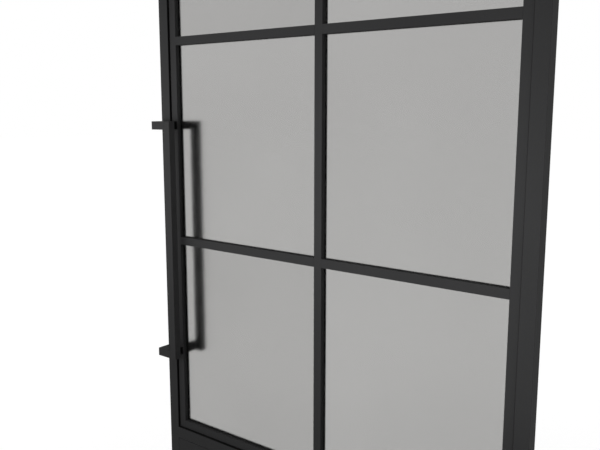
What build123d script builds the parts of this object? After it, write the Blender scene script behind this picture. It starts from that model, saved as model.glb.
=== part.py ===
from build123d import *
import os

# Glazed door in a slim steel frame, millimetres.
# X runs to the right seen from the front, Y into the wall, Z up.
# The origin is on the floor, under the middle of the frame.

# Fixed frame, welded from square tube
frame_width = 972.0
frame_height = 2063.0
tube = 30.0
tube_wall = 2.0
tube_edge = 1.0
panel_zone = 470.0
plug_depth = 12.0
plug_flange = 0.5

# Flush lower panel and the beads behind it
panel_joint = 0.7
panel_thickness = 20.0
panel_edge = 0.5
panel_sheet = 1.5
core_clearance = 0.2
bead_joint = 0.3

# Glazed leaf, built from one slim profile
leaf_clearance = 2.25
leaf_recess = 5.0
bar_face = 20.0
bar_depth = 21.0
bar_wall = 2.0
bar_edge = 0.6
pane_columns = 2
pane_rows = 3
glass_thickness = 4.0
glass_bite = 5.5
gasket_lip = 1.5
gasket_floor = 1.5
key_length = 40.0
key_clearance = 0.15

# Stops behind the leaf, with a seal let into each
stop_thickness = 4.0
stop_width = 25.0
stop_lap = 5.75
seal_width = 4.0
seal_depth = 2.0
rest_clearance = 0.3
stop_screw_inset = 60.0
stop_screw_radius = 2.0
stop_screw_length = 10.0
pan_head_radius = 3.8
pan_head_height = 2.2
stop_screw_back = 8.0

# Magnetic catch at the lock side of the head
catch_width = 40.0
catch_height = 12.0
catch_depth = 8.0
catch_inset = 70.0
keeper_thickness = 0.8

# Weld-style barrel hinges at the right
hinge_radius = 7.0
hinge_pin_radius = 4.0
hinge_pin_clearance = 0.05
hinge_knuckle = 40.0
hinge_washer = 1.5
hinge_face_gap = 0.5
hinge_inset = 108.0
wing_reach = 27.0
wing_thickness = 3.0
wing_foot_gap = 1.0
wing_screw_pitch = 22.0
wing_screw_out = 18.5
wing_screw_radius = 2.0
wing_screw_head = 3.8
wing_screw_sink = 1.8
wing_screw_length = 12.0

# Pull handles, back to back
handle_length = 600.0
handle_stand = 44.0
grip_width = 20.0
grip_depth = 18.0
grip_edge = 0.8
grip_lap = 2.75
block_height = 20.0
block_overlap = 23.25
block_post_gap = 1.0
block_step_inset = 0.75
back_block_inset = 2.75
handle_bolt_inset = 8.25
handle_bolt_radius = 2.5
handle_bolt_clearance = 0.1
handle_bolt_head = 4.25
handle_bolt_head_height = 5.0
handle_bolt_sink = 6.0
handle_bolt_engage = 20.0
bumper_size = 12.0
bumper_inset = 3.0
bumper_gap = 0.2

# Holes for fixing the frame to the walls and the floor
fixing_radius = 4.0
fixing_end_inset = 62.0
fixing_upper_inset = 330.0
floor_fixing_spacing = 700.0

# Places worked out from the sizes above
half_width = frame_width / 2
frame_front = -tube / 2
frame_back = tube / 2
opening_x = half_width - tube
transom_bottom = tube + panel_zone
transom_top = transom_bottom + tube
head_bottom = frame_height - tube
leaf_x = opening_x - leaf_clearance
leaf_bottom = transom_top + leaf_clearance
leaf_top = head_bottom - leaf_clearance
leaf_front = frame_front + leaf_recess
leaf_back = leaf_front + bar_depth
leaf_middle = (leaf_front + leaf_back) / 2
groove_width = glass_thickness + 2 * gasket_lip
groove_depth = glass_bite + gasket_floor
chamber = bar_face - groove_depth - 2 * bar_wall
pane_width = (2 * leaf_x - (pane_columns + 1) * bar_face) / pane_columns
pane_height = (leaf_top - leaf_bottom - (pane_rows + 1) * bar_face) / pane_rows
column_pitch = pane_width + bar_face
row_pitch = pane_height + bar_face
hinge_x = opening_x - leaf_clearance / 2
hinge_y = frame_front - hinge_face_gap - hinge_radius
handle_z = leaf_bottom + row_pitch + bar_face / 2
grip_left = -leaf_x + bar_face - grip_lap
column_names = ("left", "right")
row_names = ("lower", "middle", "upper")

os.makedirs("parts", exist_ok=True)


def save(builder, name):
    """Label a finished piece and write it as its own file."""
    builder.part.label = name
    export_step(builder.part, f"parts/{name}.step")


def box_between(x, y, z, mode=Mode.ADD):
    """Add or cut a box that spans three (low, high) pairs."""
    sizes = [high - low for low, high in (x, y, z)]
    middle = [(low + high) / 2 for low, high in (x, y, z)]
    with Locations(tuple(middle)):
        Box(*sizes, mode=mode)


def column_start(column):
    """Left edge of the visible glass in a column of panes."""
    return -leaf_x + bar_face + column * column_pitch


def row_start(row):
    """Lower edge of the visible glass in a row of panes."""
    return leaf_bottom + bar_face + row * row_pitch


def tube_section(plane, start, length, centre):
    """Extrude the frame's square tube from a plane along its normal."""
    with BuildSketch(plane.offset(start)) as section:
        with Locations(centre):
            RectangleRounded(tube, tube, tube_edge)
            Rectangle(tube - 2 * tube_wall, tube - 2 * tube_wall, mode=Mode.SUBTRACT)
    extrude(section.sketch, amount=length)


# Places of the stops on the back of the frame: head, hinge side and transom.
# The lock side has none, because the rear handle passes there.
stop_back = frame_back + stop_thickness
seal_inset = stop_lap / 2
stop_edge_x = leaf_x - stop_lap
stop_low_z = leaf_bottom + stop_lap
stop_high_z = leaf_top - stop_lap
stop_outer_x = stop_edge_x + stop_width
stop_y = (frame_back, stop_back)
groove_y = (frame_back, frame_back + seal_depth)
seal_y = (leaf_back + rest_clearance, frame_back + seal_depth)
stop_ranges = {
    "stop_head": ((-opening_x, stop_outer_x), (stop_high_z, stop_high_z + stop_width)),
    "stop_transom": ((-opening_x, stop_outer_x), (stop_low_z - stop_width, stop_low_z)),
    "stop_hinge_side": ((stop_edge_x, stop_outer_x), (stop_low_z, stop_high_z)),
}
upright_seal_x = (stop_edge_x + seal_inset - seal_width / 2, stop_edge_x + seal_inset + seal_width / 2)
seal_ranges = {
    "stop_head": (
        (-leaf_x, leaf_x),
        (stop_high_z + seal_inset - seal_width / 2, stop_high_z + seal_inset + seal_width / 2),
    ),
    "stop_transom": (
        (-leaf_x, leaf_x),
        (stop_low_z - seal_inset - seal_width / 2, stop_low_z - seal_inset + seal_width / 2),
    ),
    "stop_hinge_side": (upright_seal_x, (stop_low_z, stop_high_z)),
}
flat_span = (-opening_x + stop_screw_inset, opening_x - stop_screw_inset)
flat_screws_x = [flat_span[0] + i * (flat_span[1] - flat_span[0]) / 2 for i in range(3)]
side_span = (stop_low_z + stop_screw_inset, stop_high_z - stop_screw_inset)
side_screws_z = [side_span[0] + i * (side_span[1] - side_span[0]) / 3 for i in range(4)]
stop_screw_places = {
    "stop_head": [(x, stop_high_z + stop_width - stop_screw_back) for x in flat_screws_x],
    "stop_transom": [(x, stop_low_z - stop_width + stop_screw_back) for x in flat_screws_x],
    "stop_hinge_side": [(stop_outer_x - stop_screw_back, z) for z in side_screws_z],
}


def stop_screw_holes(stop_name):
    """Cut the holes of one stop's screws, in the stop and in the tube behind it."""
    with Locations(*[Location((x, frame_back, z), (90, 0, 0)) for x, z in stop_screw_places[stop_name]]):
        Cylinder(stop_screw_radius, 2 * stop_screw_length, mode=Mode.SUBTRACT)


# Posts, with the holes for the wall fixings through both walls
fixing_heights = (
    tube + fixing_end_inset,
    transom_top + fixing_end_inset,
    head_bottom - fixing_upper_inset,
    head_bottom - fixing_end_inset,
)
hinge_heights = (leaf_bottom + hinge_inset, leaf_top - hinge_inset)
hinge_names = ("lower", "upper")
frame_knuckle_shift = -(hinge_knuckle + hinge_washer) / 2
leaf_knuckle_shift = (hinge_knuckle + hinge_washer) / 2
wing_screw_heights = (-wing_screw_pitch / 2, wing_screw_pitch / 2)
frame_screw_x = hinge_x + wing_screw_out
leaf_screw_x = hinge_x - wing_screw_out

for name, side in (("post_left", -1), ("post_right", 1)):
    with BuildPart() as post:
        tube_section(Plane.XY, 0, frame_height, (side * (half_width - tube / 2), 0))
        with Locations(*[Location((side * (half_width - tube / 2), 0, z), (0, 90, 0)) for z in fixing_heights]):
            Cylinder(fixing_radius, tube + 2, mode=Mode.SUBTRACT)
        if side > 0:
            stop_screw_holes("stop_hinge_side")
            with Locations(
                *[
                    Location((frame_screw_x, frame_front, z + frame_knuckle_shift + dz), (90, 0, 0))
                    for z in hinge_heights
                    for dz in wing_screw_heights
                ]
            ):
                Cylinder(wing_screw_radius, 3 * tube_wall, mode=Mode.SUBTRACT)
    save(post, name)

# Cross members between the posts
for name, middle_z in (
    ("sill", tube / 2),
    ("transom", transom_bottom + tube / 2),
    ("head", head_bottom + tube / 2),
):
    with BuildPart() as member:
        tube_section(Plane.YZ, -opening_x, 2 * opening_x, (0, middle_z))
        if f"stop_{name}" in stop_ranges:
            stop_screw_holes(f"stop_{name}")
        if name == "sill":
            with GridLocations(floor_fixing_spacing, 1, 2, 1):
                with Locations((0, 0, middle_z)):
                    Cylinder(fixing_radius, tube + 2, mode=Mode.SUBTRACT)
    save(member, name)

# Plugs that close the posts at the head and at the floor
for name, lip_z, body_z in (
    ("post_caps", frame_height, frame_height - plug_depth),
    ("post_feet", 0.0, 0.0),
):
    with BuildPart() as plugs:
        with BuildSketch(Plane.XY.offset(body_z)):
            with GridLocations(frame_width - tube, 1, 2, 1):
                Rectangle(tube - 2 * tube_wall, tube - 2 * tube_wall)
        extrude(amount=plug_depth)
        if lip_z:
            with BuildSketch(Plane.XY.offset(lip_z)):
                with GridLocations(frame_width - tube, 1, 2, 1):
                    RectangleRounded(tube, tube, tube_edge)
            extrude(amount=plug_flange)
    save(plugs, name)

# Lower panel, a folded tray flush with the frame's face, its core board, and the beads that hold it
panel_back = frame_front + panel_thickness
panel_x = opening_x - panel_joint
panel_z = (tube + panel_joint, transom_bottom - panel_joint)
tray_x = panel_x - panel_sheet
tray_z = (panel_z[0] + panel_sheet, panel_z[1] - panel_sheet)
with BuildPart() as base_panel:
    box_between((-panel_x, panel_x), (frame_front, panel_back), panel_z)
    chamfer(base_panel.faces().sort_by(Axis.Y)[0].edges(), panel_edge)
    box_between((-tray_x, tray_x), (frame_front + panel_sheet, panel_back), tray_z, Mode.SUBTRACT)
save(base_panel, "base_panel")

with BuildPart() as panel_core:
    core_x = tray_x - core_clearance
    core_z = (tray_z[0] + core_clearance, tray_z[1] - core_clearance)
    box_between((-core_x, core_x), (frame_front + panel_sheet, panel_back), core_z)
save(panel_core, "panel_core")

bead_width = frame_back - panel_back
with BuildPart() as panel_beads:
    for side in (-1, 1):
        x_range = sorted((side * opening_x, side * (opening_x - bead_width)))
        box_between(x_range, (panel_back, frame_back), (tube, transom_bottom))
    inner_x = opening_x - bead_width - bead_joint
    for z_low in (tube, transom_bottom - bead_width):
        box_between((-inner_x, inner_x), (panel_back, frame_back), (z_low, z_low + bead_width))
save(panel_beads, "panel_beads")

# Stops on the back of the frame, each with a groove for its seal
for name, (x_range, z_range) in stop_ranges.items():
    with BuildPart() as stop:
        box_between(x_range, stop_y, z_range)
        seal_x, seal_z = seal_ranges[name]
        box_between(seal_x, groove_y, seal_z, Mode.SUBTRACT)
        stop_screw_holes(name)
    save(stop, name)

with BuildPart() as stop_seals:
    for seal_x, seal_z in seal_ranges.values():
        box_between(seal_x, seal_y, seal_z)
save(stop_seals, "stop_seals")

# Pan-head screws that hold the stops
with BuildPart() as stop_screws:
    for places in stop_screw_places.values():
        for x, z in places:
            with BuildSketch(Plane.XZ.offset(-stop_back)):
                with Locations((x, z)):
                    Circle(pan_head_radius)
            extrude(amount=-pan_head_height)
            with BuildSketch(Plane.XZ.offset(-stop_back)):
                with Locations((x, z)):
                    Circle(stop_screw_radius)
            extrude(amount=stop_screw_length)
save(stop_screws, "stop_screws")

# Catch magnet under the head's stop, and its keeper on the leaf
catch_x = (-opening_x + catch_inset, -opening_x + catch_inset + catch_width)
catch_z = (stop_high_z - catch_height, stop_high_z)
keeper_y = (leaf_back, leaf_back + keeper_thickness)
with BuildPart() as catch_magnet:
    magnet_front = keeper_y[1] + rest_clearance
    box_between(catch_x, (magnet_front, magnet_front + catch_depth), catch_z)
    fillet(catch_magnet.edges().filter_by(Axis.Z).sort_by(Axis.Y)[-2:], catch_depth / 4)
save(catch_magnet, "catch_magnet")

with BuildPart() as catch_keeper:
    box_between(catch_x, keeper_y, catch_z)
save(catch_keeper, "catch_keeper")


# Hinges: a knuckle with a wing on the post, a knuckle with a pad on the leaf
def knuckle(middle_z, side, foot_depth):
    """Barrel and wing of one hinge half; side is +1 for the post and -1 for the leaf."""
    low_z = middle_z - hinge_knuckle / 2
    wing_front = frame_front - wing_thickness
    x_range = sorted((hinge_x, hinge_x + side * wing_reach))
    z_range = (low_z, low_z + hinge_knuckle)
    with BuildSketch(Plane.XY.offset(low_z)) as barrel:
        with Locations((hinge_x, hinge_y)):
            Circle(hinge_radius)
    extrude(barrel.sketch, amount=hinge_knuckle)
    box_between(x_range, (wing_front, frame_front - hinge_face_gap), z_range)
    foot_x = (x_range[0], leaf_x) if side < 0 else (half_width - tube + wing_foot_gap, x_range[1])
    box_between(foot_x, (frame_front - hinge_face_gap, frame_front + foot_depth), z_range)


frame_bore = hinge_pin_radius
leaf_bore = hinge_pin_radius + hinge_pin_clearance
pin_floor = 4.0
for name, hinge_z in zip(hinge_names, hinge_heights):
    frame_z = hinge_z + frame_knuckle_shift
    leaf_z = hinge_z + leaf_knuckle_shift
    screw_reach = wing_screw_length + wing_thickness
    with BuildPart() as frame_knuckle:
        knuckle(frame_z, 1, 0)
        with BuildSketch(Plane.XY.offset(frame_z + hinge_knuckle / 2)):
            with Locations((hinge_x, hinge_y)):
                Circle(frame_bore)
        extrude(amount=-(hinge_knuckle - pin_floor), mode=Mode.SUBTRACT)
        for dz in wing_screw_heights:
            with Locations(Location((frame_screw_x, frame_front - wing_thickness, frame_z + dz), (90, 0, 0))):
                CounterSinkHole(wing_screw_radius, wing_screw_head, depth=screw_reach)
    save(frame_knuckle, f"hinge_frame_knuckle_{name}")

    with BuildPart() as leaf_knuckle:
        knuckle(leaf_z, -1, leaf_recess)
        with BuildSketch(Plane.XY.offset(leaf_z - hinge_knuckle / 2)):
            with Locations((hinge_x, hinge_y)):
                Circle(leaf_bore)
        extrude(amount=hinge_knuckle - pin_floor, mode=Mode.SUBTRACT)
        for dz in wing_screw_heights:
            with Locations(Location((leaf_screw_x, frame_front - wing_thickness, leaf_z + dz), (90, 0, 0))):
                CounterSinkHole(wing_screw_radius, wing_screw_head, depth=screw_reach)
    save(leaf_knuckle, f"hinge_leaf_knuckle_{name}")

    with BuildPart() as hinge_pin:
        pin_bottom = frame_z - hinge_knuckle / 2 + pin_floor
        pin_top = leaf_z + hinge_knuckle / 2 - pin_floor - rest_clearance
        with BuildSketch(Plane.XY.offset(pin_bottom)):
            with Locations((hinge_x, hinge_y)):
                Circle(hinge_pin_radius)
        extrude(amount=pin_top - pin_bottom)
    save(hinge_pin, f"hinge_pin_{name}")

    with BuildPart() as washer:
        with BuildSketch(Plane.XY.offset(frame_z + hinge_knuckle / 2)):
            with Locations((hinge_x, hinge_y)):
                Circle(hinge_radius)
                Circle(leaf_bore, mode=Mode.SUBTRACT)
        extrude(amount=hinge_washer - rest_clearance / 2)
    save(washer, f"hinge_washer_{name}")


# Countersunk screws of the hinge wings
def wing_screw(x, z, seat_y):
    """One countersunk screw that enters towards +Y at a wing's outer face."""
    with BuildSketch(Plane.XZ.offset(-seat_y)) as shank:
        with Locations((x, z)):
            Circle(wing_screw_radius)
    extrude(shank.sketch, amount=-wing_screw_length)
    head_middle = (x, seat_y + wing_screw_sink / 2, z)
    with Locations(Location(head_middle, (90, 0, 0))):
        Cone(wing_screw_radius, wing_screw_head, wing_screw_sink)


for name, x, shift in (
    ("hinge_frame_screws", frame_screw_x, frame_knuckle_shift),
    ("hinge_leaf_screws", leaf_screw_x, leaf_knuckle_shift),
):
    with BuildPart() as screws:
        for hinge_z in hinge_heights:
            for dz in wing_screw_heights:
                wing_screw(x, hinge_z + shift + dz, frame_front - wing_thickness)
    save(screws, name)


# Leaf profile: a slim hollow bar with a glazing groove on its glass side
def leaf_edge_section(direction):
    """Section of a stile or rail, groove towards +1 or -1 along its first axis."""
    RectangleRounded(bar_face, bar_depth, bar_edge)
    with Locations((direction * (bar_face - groove_depth) / 2, 0)):
        Rectangle(groove_depth, groove_width, mode=Mode.SUBTRACT)
    with Locations((-direction * (bar_face / 2 - bar_wall - chamber / 2), 0)):
        Rectangle(chamber, bar_depth - 2 * bar_wall, mode=Mode.SUBTRACT)


def muntin_section():
    """Section of a glazing bar, with a groove on both sides."""
    RectangleRounded(bar_face, bar_depth, bar_edge)
    for direction in (-1, 1):
        with Locations((direction * (bar_face - groove_depth) / 2, 0)):
            Rectangle(groove_depth, groove_width, mode=Mode.SUBTRACT)


leaf_height = leaf_top - leaf_bottom
leaf_screw_bite = wing_screw_length - wing_thickness - leaf_recess
stile_middle_x = leaf_x - bar_face / 2
rail_inner_x = leaf_x - bar_face
handle_bolt_x = -leaf_x + handle_bolt_inset
handle_ends = (handle_z - handle_length / 2, handle_z + handle_length / 2)
block_centres = (handle_ends[0] + block_height / 2, handle_ends[1] - block_height / 2)
groove_open = (leaf_middle - groove_width / 2, leaf_middle + groove_width / 2)

for name, side in (("leaf_stile_left", -1), ("leaf_stile_right", 1)):
    with BuildPart() as stile:
        with BuildSketch(Plane.XY.offset(leaf_bottom)):
            with Locations((side * stile_middle_x, leaf_middle)):
                leaf_edge_section(-side)
        extrude(amount=leaf_height)
        if side < 0:
            with Locations(*[Location((handle_bolt_x, leaf_middle, z), (90, 0, 0)) for z in block_centres]):
                Cylinder(handle_bolt_radius + handle_bolt_clearance, bar_depth + 2, mode=Mode.SUBTRACT)
        else:
            with Locations(
                *[
                    Location((leaf_screw_x, leaf_front, z + leaf_knuckle_shift + dz), (90, 0, 0))
                    for z in hinge_heights
                    for dz in wing_screw_heights
                ]
            ):
                Cylinder(wing_screw_radius, 2 * leaf_screw_bite, mode=Mode.SUBTRACT)
    save(stile, name)

for name, side, middle_z in (
    ("leaf_rail_bottom", 1, leaf_bottom + bar_face / 2),
    ("leaf_rail_top", -1, leaf_top - bar_face / 2),
):
    with BuildPart() as rail:
        with BuildSketch(Plane(origin=(-rail_inner_x, leaf_middle, middle_z), x_dir=(0, 0, 1), z_dir=(1, 0, 0))):
            leaf_edge_section(side)
        extrude(amount=2 * rail_inner_x)
    save(rail, name)

# Upright glazing bar, then the cross bars on each side of it
upright_x = column_start(0) + pane_width + bar_face / 2
with BuildPart() as glazing_bar_upright:
    with BuildSketch(Plane.XY.offset(leaf_bottom + bar_face)):
        with Locations((upright_x, leaf_middle)):
            muntin_section()
    extrude(amount=leaf_height - 2 * bar_face)
save(glazing_bar_upright, "glazing_bar_upright")

for row in range(pane_rows - 1):
    bar_z = row_start(row) + pane_height + bar_face / 2
    for column in range(pane_columns):
        with BuildPart() as cross_bar:
            plane = Plane(origin=(column_start(column), leaf_middle, bar_z), x_dir=(0, 0, 1), z_dir=(1, 0, 0))
            with BuildSketch(plane):
                muntin_section()
            extrude(amount=pane_width)
        save(cross_bar, f"glazing_bar_{row_names[row]}_{column_names[column]}")

# Panes and the channel gasket around each
glass_y = (leaf_middle - glass_thickness / 2, leaf_middle + glass_thickness / 2)
for row in range(pane_rows):
    for column in range(pane_columns):
        name = f"{row_names[row]}_{column_names[column]}"
        x_clear = (column_start(column), column_start(column) + pane_width)
        z_clear = (row_start(row), row_start(row) + pane_height)
        x_glass = (x_clear[0] - glass_bite, x_clear[1] + glass_bite)
        z_glass = (z_clear[0] - glass_bite, z_clear[1] + glass_bite)
        with BuildPart() as pane:
            box_between(x_glass, glass_y, z_glass)
        save(pane, f"pane_{name}")

        with BuildPart() as gasket:
            x_outer = (x_clear[0] - groove_depth, x_clear[1] + groove_depth)
            z_outer = (z_clear[0] - groove_depth, z_clear[1] + groove_depth)
            box_between(x_outer, groove_open, z_outer)
            box_between(x_clear, groove_open, z_clear, Mode.SUBTRACT)
            box_between(x_glass, glass_y, z_glass, Mode.SUBTRACT)
        save(gasket, f"gasket_{name}")

# Corner keys inside the rails, and plugs in the ends of the stiles
chamber_x = stile_middle_x + bar_face / 2 - bar_wall - chamber / 2
with BuildPart() as corner_keys:
    for side in (-1, 1):
        for outer_z, inward in ((leaf_bottom + bar_wall, 1), (leaf_top - bar_wall, -1)):
            x_range = sorted((side * rail_inner_x, side * (rail_inner_x - key_length)))
            z_range = sorted((outer_z, outer_z + inward * (chamber - key_clearance)))
            y_range = (leaf_front + bar_wall + key_clearance, leaf_back - bar_wall - key_clearance)
            box_between(x_range, y_range, z_range)
save(corner_keys, "leaf_corner_keys")

with BuildPart() as stile_plugs:
    for start_z in (leaf_bottom, leaf_top - plug_depth):
        with BuildSketch(Plane.XY.offset(start_z)):
            with Locations((-chamber_x, leaf_middle), (chamber_x, leaf_middle)):
                Rectangle(chamber, bar_depth - 2 * bar_wall)
        extrude(amount=plug_depth)
save(stile_plugs, "leaf_stile_plugs")

# Front handle: a square grip on two deep blocks that also close on the post
front_y = leaf_front - handle_stand
with BuildPart() as handle_front_grip:
    with BuildSketch(Plane.XY.offset(handle_ends[0])):
        with Locations((grip_left + grip_width / 2, front_y + grip_depth / 2)):
            RectangleRounded(grip_width, grip_depth, grip_edge)
    extrude(amount=handle_length)
save(handle_front_grip, "handle_front_grip")

block_left = -opening_x - block_overlap
step_x = -leaf_x + block_step_inset
for name, middle_z in zip(hinge_names, block_centres):
    z_range = (middle_z - block_height / 2, middle_z + block_height / 2)
    with BuildPart() as front_block:
        box_between((block_left, grip_left), (front_y, frame_front - block_post_gap), z_range)
        box_between((step_x, grip_left), (front_y, leaf_front), z_range)
        with Locations(Location((handle_bolt_x, leaf_front, middle_z), (90, 0, 0))):
            Cylinder(handle_bolt_radius, 2 * handle_bolt_engage, mode=Mode.SUBTRACT)
    save(front_block, f"handle_front_block_{name}")

with BuildPart() as handle_bumpers:
    bumper_x = (block_left + bumper_inset, block_left + bumper_inset + bumper_size)
    bumper_y = (frame_front - block_post_gap, frame_front - bumper_gap)
    for middle_z in block_centres:
        box_between(bumper_x, bumper_y, (middle_z - bumper_size / 2, middle_z + bumper_size / 2))
save(handle_bumpers, "handle_bumpers")

# Rear handle, set in from the post so that the leaf can swing
rear_y = leaf_back + handle_stand
with BuildPart() as handle_rear_grip:
    with BuildSketch(Plane.XY.offset(handle_ends[0])):
        with Locations((grip_left + grip_width / 2, rear_y - grip_depth / 2)):
            RectangleRounded(grip_width, grip_depth, grip_edge)
    extrude(amount=handle_length)
save(handle_rear_grip, "handle_rear_grip")

rear_left = -leaf_x + back_block_inset
for name, middle_z in zip(hinge_names, block_centres):
    z_range = (middle_z - block_height / 2, middle_z + block_height / 2)
    with BuildPart() as rear_block:
        box_between((rear_left, grip_left), (leaf_back, rear_y), z_range)
        with Locations(Location((handle_bolt_x, rear_y, middle_z), (-90, 0, 0))):
            CounterBoreHole(
                handle_bolt_radius + handle_bolt_clearance,
                handle_bolt_head + handle_bolt_clearance,
                handle_bolt_sink,
                depth=handle_stand,
            )
    save(rear_block, f"handle_rear_block_{name}")

# Long bolts that clamp both handles through the lock stile
with BuildPart() as handle_bolts:
    head_seat = rear_y - handle_bolt_sink
    for middle_z in block_centres:
        with BuildSketch(Plane.XZ.offset(-head_seat)):
            with Locations((handle_bolt_x, middle_z)):
                Circle(handle_bolt_head)
        extrude(amount=-handle_bolt_head_height)
        with BuildSketch(Plane.XZ.offset(-head_seat)):
            with Locations((handle_bolt_x, middle_z)):
                Circle(handle_bolt_radius)
        extrude(amount=head_seat - leaf_front + handle_bolt_engage)
save(handle_bolts, "handle_bolts")
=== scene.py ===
import logging
import math
from collections.abc import Callable, Sequence
from dataclasses import dataclass, field
from enum import Enum

import bmesh
import bpy
from mathutils import Matrix, Vector


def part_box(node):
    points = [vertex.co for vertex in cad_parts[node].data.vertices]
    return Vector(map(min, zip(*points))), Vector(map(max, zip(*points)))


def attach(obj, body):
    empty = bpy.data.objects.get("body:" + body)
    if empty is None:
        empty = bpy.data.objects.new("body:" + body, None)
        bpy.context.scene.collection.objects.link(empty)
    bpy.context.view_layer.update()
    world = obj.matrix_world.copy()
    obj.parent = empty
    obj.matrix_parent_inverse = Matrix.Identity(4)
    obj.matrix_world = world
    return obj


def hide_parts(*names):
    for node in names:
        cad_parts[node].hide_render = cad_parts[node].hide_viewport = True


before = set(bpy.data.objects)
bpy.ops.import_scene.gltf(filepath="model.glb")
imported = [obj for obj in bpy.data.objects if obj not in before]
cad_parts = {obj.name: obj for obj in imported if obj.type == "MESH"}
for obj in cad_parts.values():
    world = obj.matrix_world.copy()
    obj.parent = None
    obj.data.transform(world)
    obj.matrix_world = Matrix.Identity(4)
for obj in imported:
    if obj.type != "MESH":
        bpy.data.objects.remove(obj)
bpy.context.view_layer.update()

log = logging.getLogger("satin_glass_door")
MM = 0.001
MM_PER_M = 1000.0
UP = Vector((0.0, 0.0, 1.0))
ACROSS = Vector((1.0, 0.0, 0.0))
SHARP_DEGREES = 32
EASED_DEGREES = 50
JOINED_MM = 0.01
Socket = bpy.types.NodeSocket
Node = bpy.types.Node
NodeTree = bpy.types.NodeTree
BMesh = bmesh.types.BMesh
Pair = tuple[float, float]
Triple = tuple[float, float, float]
Colour = Triple
OutlineRule = Callable[[float], float]
Ring = tuple[float, OutlineRule | float]


class Wiring:
    """A hand on one node tree: it adds nodes, sets their inputs and joins them."""

    def __init__(self, tree: NodeTree) -> None:
        """Take hold of a tree.

        Args:
            tree: the node tree of a material, a world or a group.
        """
        self.tree = tree

    def add(self, kind: str, inputs: dict[str | int, object] | None = None, **settings: object) -> Node:
        """Add a node.

        Args:
            kind: the node's type name.
            inputs: what each input gets, a value or a socket to join.
            settings: the node's own properties.

        Returns:
            The new node.
        """
        node = self.tree.nodes.new(kind)
        for name, value in settings.items():
            setattr(node, name, value)
        for name, value in (inputs or {}).items():
            self.feed(node.inputs[name], value)
        return node

    def feed(self, target: Socket, value: object) -> None:
        """Join a socket to an input, or set the input's own value.

        Args:
            target: the input.
            value: a socket, a number, a vector or a colour.
        """
        if isinstance(value, Socket):
            self.tree.links.new(value, target)
        elif target.type == "RGBA" and len(value) == 3:
            target.default_value = (*value, 1.0)
        else:
            target.default_value = value

    def sum_of(self, operation: str, *values: object, clamp: bool = False) -> Socket:
        """Do one sum on numbers.

        Args:
            operation: the Math node's operation.
            values: its numbers or sockets.
            clamp: whether the answer is held between 0 and 1.

        Returns:
            The answer's socket.
        """
        node = self.add("ShaderNodeMath", dict(enumerate(values)), operation=operation, use_clamp=clamp)
        return node.outputs[0]

    def product(self, first: object, second: object, third: object) -> Socket:
        """Multiply three numbers, with the answer held between 0 and 1."""
        return self.sum_of("MULTIPLY", self.sum_of("MULTIPLY", first, second), third, clamp=True)

    def spread(self, value: object, low: object, high: object, to_low: object = 0.0, to_high: object = 1.0) -> Socket:
        """Move a number from one range to another, smoothly and held at the ends.

        Args:
            value: the number.
            low: start of its range.
            high: end of its range.
            to_low: what the start becomes.
            to_high: what the end becomes.

        Returns:
            The moved number's socket.
        """
        ranges = {"Value": value, "From Min": low, "From Max": high, "To Min": to_low, "To Max": to_high}
        return self.add("ShaderNodeMapRange", ranges, interpolation_type="SMOOTHSTEP").outputs["Result"]

    def blend(self, share: object, first: object, second: object) -> Socket:
        """Mix two colours.

        Args:
            share: how much of the second shows.
            first: a colour or its socket.
            second: a colour or its socket.

        Returns:
            The mixed colour's socket.
        """
        node = self.add("ShaderNodeMix", data_type="RGBA")
        sockets = [s for s in node.inputs if s.type == "RGBA"]
        self.feed(node.inputs["Factor"], share)
        self.feed(sockets[0], first)
        self.feed(sockets[1], second)
        return next(s for s in node.outputs if s.type == "RGBA")

    def noise(self, scale: object, detail: float = 2.0, where: object | None = None) -> Socket:
        """Add soft noise, in the piece's own coordinates unless told otherwise.

        Args:
            scale: features per metre, about.
            detail: how many finer layers it has.
            where: the coordinates' socket.

        Returns:
            The noise's number.
        """
        if where is None:
            where = self.add("ShaderNodeTexCoord").outputs["Object"]
        return self.add("ShaderNodeTexNoise", {"Vector": where, "Scale": scale, "Detail": detail}).outputs[0]

    def stretched(self, scales: Triple) -> Socket:
        """Give the piece's own coordinates, each multiplied by its scale, in features per metre."""
        where = self.add("ShaderNodeTexCoord").outputs["Object"]
        return self.add("ShaderNodeVectorMath", {0: where, 1: scales}, operation="MULTIPLY").outputs["Vector"]


class Effect(Enum):
    """Surface effects that several finishes share, each one node group."""

    POWDER = "powder_coat_texture"
    EDGES = "eased_edges"
    DUST = "settled_dust"
    STREAKS = "drawn_streaks"
    MOULDED = "moulded_skin"


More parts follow.
